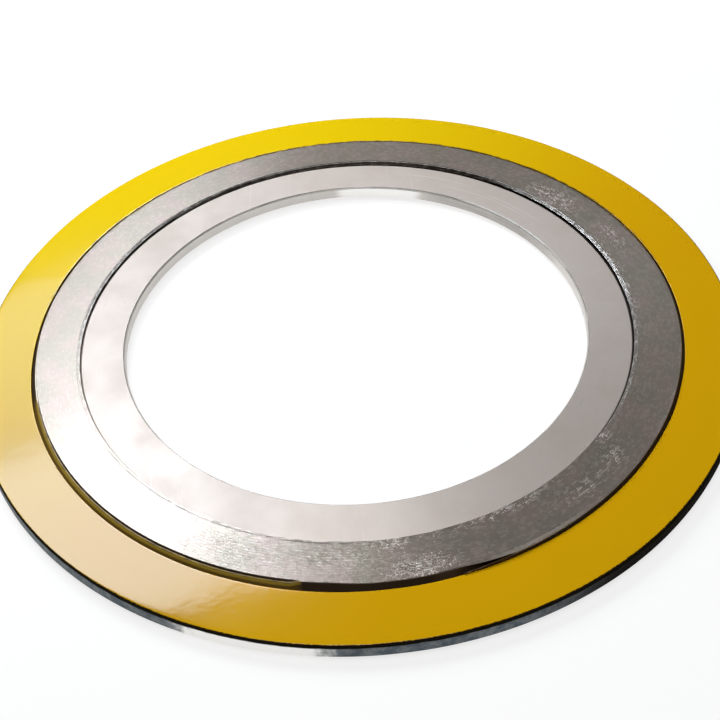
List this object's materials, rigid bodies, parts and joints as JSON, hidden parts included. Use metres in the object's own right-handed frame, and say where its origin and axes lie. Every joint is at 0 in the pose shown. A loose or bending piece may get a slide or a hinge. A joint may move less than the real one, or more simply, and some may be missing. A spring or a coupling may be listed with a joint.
{
  "type": "spiral wound gasket",
  "caption": "Flat round flange gasket: a raised spiral winding between a bare inner ring and a painted outer centring ring.",
  "frame": {"origin": "centre of the gasket, on its axis and halfway through its thickness", "axes": "+Z along the gasket's axis, out of its upper face; +X and +Y across it"},
  "size_m": [0.1748, 0.1748, 0.0044],
  "materials": {
    "wound_steel": "satin",
    "yellow_paint": "gloss",
    "satin_steel": "satin"
  },
  "bodies": {
    "root": {"winding": "wound_steel", "outer_ring": "yellow_paint", "inner_ring": "satin_steel"}
  },
  "joints": []
}
